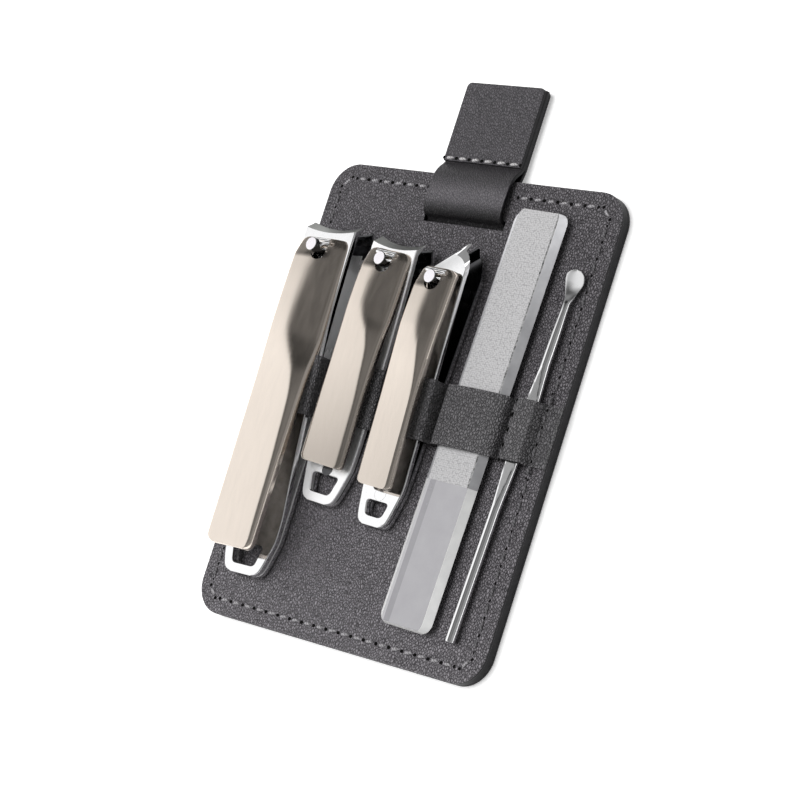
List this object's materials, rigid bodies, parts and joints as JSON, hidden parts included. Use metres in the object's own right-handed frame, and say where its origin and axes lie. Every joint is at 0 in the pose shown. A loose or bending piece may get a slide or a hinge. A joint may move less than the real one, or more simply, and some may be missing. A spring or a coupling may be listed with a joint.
{
  "type": "nail care set",
  "caption": "Dark stitched leather card with a pull tab, holding nail clippers with champagne levers, a glass nail file and an ear pick in one leather band.",
  "frame": {"origin": "centre of the card's back face", "axes": "+X across the card to the ear pick's side, +Y along the card to the pull tab, +Z out of the card's front"},
  "size_m": [0.0826, 0.1262, 0.0157],
  "materials": {
    "card_leather": "matte grained",
    "band_leather": "matte grained",
    "board": "matte",
    "card_thread": "twisted thread",
    "tab_thread": "twisted thread",
    "polished_steel": "mirror polish",
    "pin_steel": "polished with a satin top",
    "champagne_plate": "pearl champagne plating",
    "etched_glass": "etched face, clear bevels and handle"
  },
  "bodies": {
    "card": {"card_front_leather": "card_leather", "card_stiffener": "board", "card_back_leather": "card_leather", "perimeter_stitching": "card_thread", "holder_band": "band_leather", "band_stitching": "card_thread", "pull_strap": "band_leather"},
    "tab": {"tab_front_layer": "card_leather", "tab_back_layer": "card_leather", "tab_core_layer": "band_leather", "tab_stitching": "tab_thread"},
    "large_clipper": {"large_lower_arm": "polished_steel"},
    "large_jaw": {"large_upper_arm": "polished_steel", "large_tail_rivet": "polished_steel"},
    "large_pin": {"large_pin": "pin_steel"},
    "large_lever": {"large_lever": "champagne_plate"},
    "medium_clipper": {"medium_lower_arm": "polished_steel"},
    "medium_jaw": {"medium_upper_arm": "polished_steel", "medium_tail_rivet": "polished_steel"},
    "medium_pin": {"medium_pin": "pin_steel"},
    "medium_lever": {"medium_lever": "champagne_plate"},
    "small_clipper": {"small_lower_arm": "polished_steel"},
    "small_jaw": {"small_upper_arm": "polished_steel", "small_tail_rivet": "polished_steel"},
    "small_pin": {"small_pin": "pin_steel"},
    "small_lever": {"small_lever": "champagne_plate"},
    "file": {"glass_file": "etched_glass"},
    "pick": {"ear_pick": "polished_steel"}
  },
  "joints": [
    {"name": "tab_flex", "type": "hinge", "parent": "card", "child": "tab", "pos_m": [0, 0.0548, 0.00195], "axis": [1, 0, 0], "range_deg": [-45, 50], "stiffness_Nm_per_rad": 0.001},
    {"name": "large_slide", "type": "slide", "parent": "card", "child": "large_clipper", "axis": [-0.014, 0.9999, 0], "range_m": [0, 0.05]},
    {"name": "large_jaw_close", "type": "hinge", "parent": "large_clipper", "child": "large_jaw", "pos_m": [-0.02818, -0.0298, 0.0046], "axis": [0.9999, 0.014, 0], "range_deg": [-2.6, 0], "stiffness_Nm_per_rad": 1},
    {"name": "large_pin_turn", "type": "hinge", "parent": "large_clipper", "child": "large_pin", "pos_m": [-0.02901, 0.0296, 0.0032], "axis": [0, 0, 1], "range_deg": [-180, 0]},
    {"name": "large_lever_flip", "type": "hinge", "parent": "large_pin", "child": "large_lever", "pos_m": [-0.02904, 0.03125, 0.0132], "axis": [-0.9999, -0.014, 0], "range_deg": [0, 150]},
    {"name": "medium_slide", "type": "slide", "parent": "card", "child": "medium_clipper", "axis": [0.0576, 0.9983, 0], "range_m": [0, 0.006]},
    {"name": "medium_jaw_close", "type": "hinge", "parent": "medium_clipper", "child": "medium_jaw", "pos_m": [-0.01287, -0.01338, 0.00445], "axis": [0.9983, -0.0576, 0], "range_deg": [-3, 0], "stiffness_Nm_per_rad": 1},
    {"name": "medium_pin_turn", "type": "hinge", "parent": "medium_clipper", "child": "medium_pin", "pos_m": [-0.01041, 0.02925, 0.0032], "axis": [0, 0, 1], "range_deg": [-2, 5]},
    {"name": "medium_lever_flip", "type": "hinge", "parent": "medium_pin", "child": "medium_lever", "pos_m": [-0.01032, 0.0309, 0.0121], "axis": [-0.9983, 0.0576, 0], "range_deg": [0, 150]},
    {"name": "small_slide", "type": "slide", "parent": "card", "child": "small_clipper", "axis": [0.0401, 0.9992, 0], "range_m": [0, 0.0045]},
    {"name": "small_jaw_close", "type": "hinge", "parent": "small_clipper", "child": "small_jaw", "pos_m": [0.00361, -0.01599, 0.0044], "axis": [0.9992, -0.0401, 0], "range_deg": [-2.8, 0], "stiffness_Nm_per_rad": 1},
    {"name": "small_pin_turn", "type": "hinge", "parent": "small_clipper", "child": "small_pin", "pos_m": [0.00533, 0.02688, 0.0032], "axis": [0, 0, 1], "range_deg": [0, 180]},
    {"name": "small_lever_flip", "type": "hinge", "parent": "small_pin", "child": "small_lever", "pos_m": [0.0054, 0.02853, 0.0126], "axis": [-0.9992, 0.0401, 0], "range_deg": [0, 150]},
    {"name": "file_slide", "type": "slide", "parent": "card", "child": "file", "axis": [0.0253, 0.9997, 0], "range_m": [0, 0.052]},
    {"name": "pick_slide", "type": "slide", "parent": "card", "child": "pick", "axis": [0.0366, 0.9993, 0], "range_m": [0, 0.051]}
  ]
}
